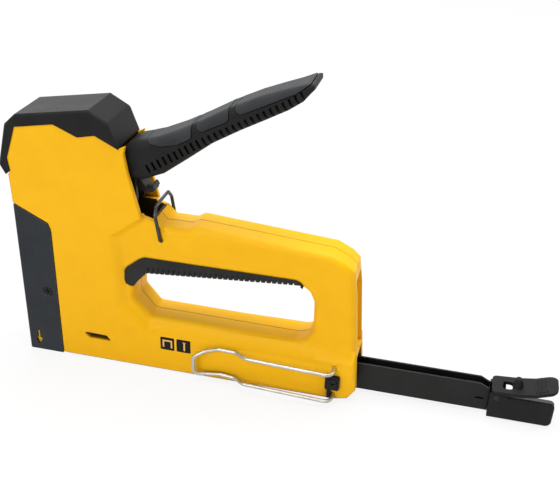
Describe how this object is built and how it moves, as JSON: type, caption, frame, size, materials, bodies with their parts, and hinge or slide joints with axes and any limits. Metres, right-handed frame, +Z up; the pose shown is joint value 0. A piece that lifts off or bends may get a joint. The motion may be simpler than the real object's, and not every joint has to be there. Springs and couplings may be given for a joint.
{
  "type": "staple gun",
  "caption": "hand staple gun with squeeze handle, lock bail, driven blade, folded nose plate, belt hook and pull-out rear magazine with sprung pusher and latch",
  "frame": {"origin": "the staple exit: on the driver line, in the base plane and on the parting plane between the two shells", "axes": "+X runs from the nose to the rear end of the magazine, +Z is up, -Y is the left side that carries the belt hook"},
  "size_m": [0.3255, 0.041, 0.1888],
  "materials": {
    "yellow_shell": "satin moulded plastic with a fine grain",
    "black_plastic": "fine-grained moulded plastic",
    "soft_grip": "matt soft overmould",
    "dark_plate": "dark grey coated sheet",
    "black_steel": "black oxide",
    "bright_steel": "bright zinc plate"
  },
  "bodies": {
    "body": {"left_shell": "yellow_shell", "right_shell": "yellow_shell", "top_cap": "black_plastic", "nose_cover": "dark_plate", "nose_guide": "bright_steel", "nose_screws": "black_steel", "shell_screws": "black_steel", "finger_grip": "soft_grip", "belt_hook": "bright_steel", "hook_retainer": "dark_plate", "hook_screw": "bright_steel", "pivot_pin": "bright_steel", "magazine_guide": "bright_steel", "plunger_bumper": "soft_grip", "spring_seat": "bright_steel", "spring_post": "bright_steel", "main_spring": "bright_steel", "return_spring": "bright_steel"},
    "handle": {"handle_lever": "black_steel", "handle_grip": "black_plastic", "handle_pads": "soft_grip", "handle_catch": "black_steel", "lifter_pin": "bright_steel", "spring_pin": "bright_steel"},
    "plunger": {"plunger": "bright_steel", "driver_blade": "bright_steel"},
    "bail": {"lock_bail": "bright_steel"},
    "magazine": {"magazine_rail": "black_steel", "end_cap": "black_plastic", "guide_rod": "bright_steel", "latch_pin": "bright_steel", "pusher_spring": "bright_steel"},
    "pusher": {"staple_pusher": "bright_steel"},
    "latch": {"latch_lever": "black_plastic"}
  },
  "joints": [
    {"name": "handle_squeeze", "type": "hinge", "parent": "body", "child": "handle", "pos_m": [0.062, 0, 0.11], "axis": [0, 1, 0], "range_deg": [0, 38], "stiffness_Nm_per_rad": 4, "springref_deg": -14.32, "deforming": ["return_spring"]},
    {"name": "plunger_lift", "type": "slide", "parent": "body", "child": "plunger", "axis": [0, 0, 1], "range_m": [0, 0.0231], "deforming": ["main_spring"]},
    {"name": "bail_swing", "type": "hinge", "parent": "body", "child": "bail", "pos_m": [0.0856, 0, 0.0885], "axis": [0, 1, 0], "range_deg": [-13, 66]},
    {"name": "magazine_slide", "type": "slide", "parent": "body", "child": "magazine", "axis": [1, 0, 0], "range_m": [-0.099, 0]},
    {"name": "pusher_slide", "type": "slide", "parent": "magazine", "child": "pusher", "axis": [1, 0, 0], "range_m": [0, 0.107], "stiffness_N_per_m": 30, "springref_m": -0.03, "deforming": ["pusher_spring"]},
    {"name": "latch_tilt", "type": "hinge", "parent": "magazine", "child": "latch", "pos_m": [0.2835, 0, 0.015], "axis": [0, 1, 0], "range_deg": [-5, 4], "stiffness_Nm_per_rad": 1.5}
  ],
  "couplings": [
    {"joint": "plunger_lift", "follows": "handle_squeeze", "m_per_rad": 0.03468}
  ]
}
